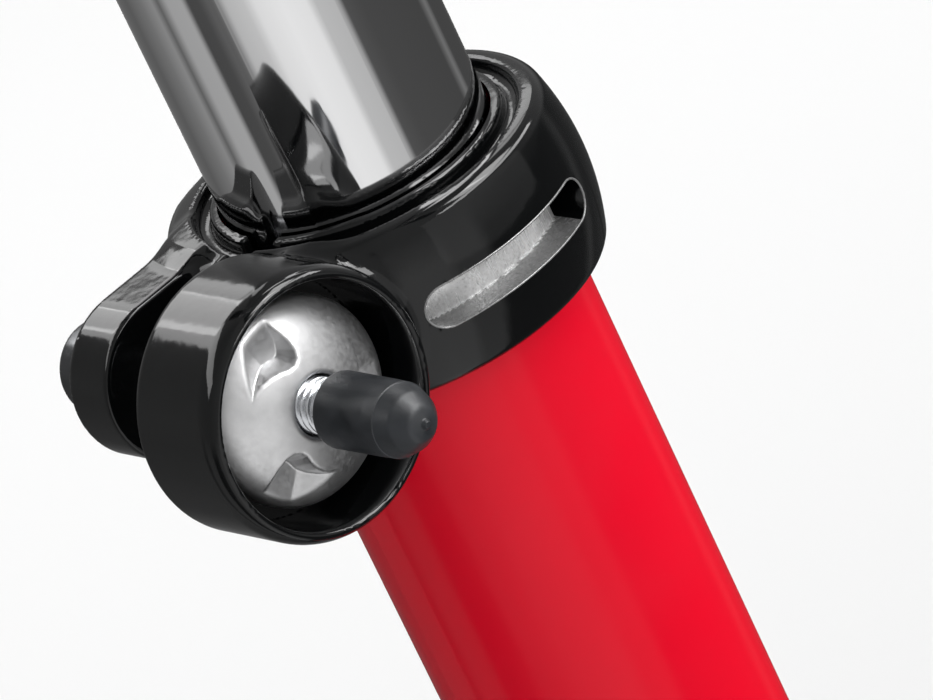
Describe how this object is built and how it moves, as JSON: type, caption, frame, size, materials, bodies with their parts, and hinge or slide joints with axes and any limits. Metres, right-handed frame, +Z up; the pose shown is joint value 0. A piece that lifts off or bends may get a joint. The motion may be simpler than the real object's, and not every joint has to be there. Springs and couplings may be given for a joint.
{
  "type": "pogo stick",
  "caption": "Child's pogo stick: sprung foot, side steps and a T handlebar whose chromed stem is held by a bolted clamp collar with a dome nut.",
  "frame": {"origin": "on the ground under the middle of the rubber foot", "axes": "+Z up along the tubes, X along the steps and the handlebar, the clamp's ears point to -Y with the bolt head on the -X side and the dome nut on the +X side"},
  "size_m": [0.343, 0.0581, 0.9455],
  "materials": {
    "red_paint": "gloss red enamel",
    "black_gloss_paint": "gloss black paint on a casting",
    "chrome": "mirror chrome",
    "zinc_plate": "zinc plated",
    "satin_silver": "satin, bead blasted",
    "spring_steel": "oiled spring steel",
    "cap_rubber": "soft blue-grey rubber",
    "black_rubber": "moulded rubber",
    "grip_foam": "closed-cell foam",
    "black_nylon": "moulded nylon",
    "white_nylon": "natural nylon"
  },
  "bodies": {
    "frame": {"main_tube": "red_paint", "clamp_collar": "black_gloss_paint", "bolt_washer": "zinc_plate", "nut_washer": "zinc_plate", "bottom_cap": "black_nylon", "guide_bush": "white_nylon", "cap_screw_1": "zinc_plate", "cap_screw_2": "zinc_plate", "cap_screw_3": "zinc_plate", "rebound_ring": "black_rubber", "spring_seat": "black_nylon", "seat_pin": "zinc_plate", "main_spring": "spring_steel", "step_tube_left": "red_paint", "step_tube_right": "red_paint", "step_gusset_left": "red_paint", "step_gusset_right": "red_paint", "tread_left": "black_rubber", "tread_right": "black_rubber", "tread_screw_left": "zinc_plate", "tread_screw_right": "zinc_plate", "step_plug_left": "black_nylon", "step_plug_right": "black_nylon"},
    "plunger": {"plunger_tube": "chrome", "plunger_head": "white_nylon", "head_pin": "zinc_plate", "foot_tip": "black_rubber", "tip_washer": "zinc_plate"},
    "stem_slider": {"stem_plug": "black_nylon"},
    "handlebar": {"stem_tube": "chrome", "handle_bar": "chrome", "grip_left": "grip_foam", "grip_right": "grip_foam", "bar_plug_left": "black_nylon", "bar_plug_right": "black_nylon"},
    "clamp_screw": {"clamp_bolt": "zinc_plate", "thread_cap": "cap_rubber"},
    "clamp_nut": {"clamp_nut": "satin_silver"}
  },
  "joints": [
    {"name": "height_slide", "type": "slide", "parent": "frame", "child": "stem_slider", "axis": [0, 0, 1], "range_m": [-0.11, 0.07]},
    {"name": "handlebar_turn", "type": "hinge", "parent": "stem_slider", "child": "handlebar", "pos_m": [0, 0, 0.69], "axis": [0, 0, 1], "continuous": true},
    {"name": "plunger_slide", "type": "slide", "parent": "frame", "child": "plunger", "axis": [0, 0, 1], "range_m": [0, 0.09], "stiffness_N_per_m": 10000, "springref_m": -0.01, "deforming": ["main_spring"]},
    {"name": "bolt_turn", "type": "hinge", "parent": "frame", "child": "clamp_screw", "pos_m": [0, -0.0246, 0.6928], "axis": [1, 0, 0], "continuous": true},
    {"name": "nut_turn", "type": "hinge", "parent": "frame", "child": "clamp_nut", "pos_m": [0, -0.0246, 0.6928], "axis": [1, 0, 0], "continuous": true}
  ]
}
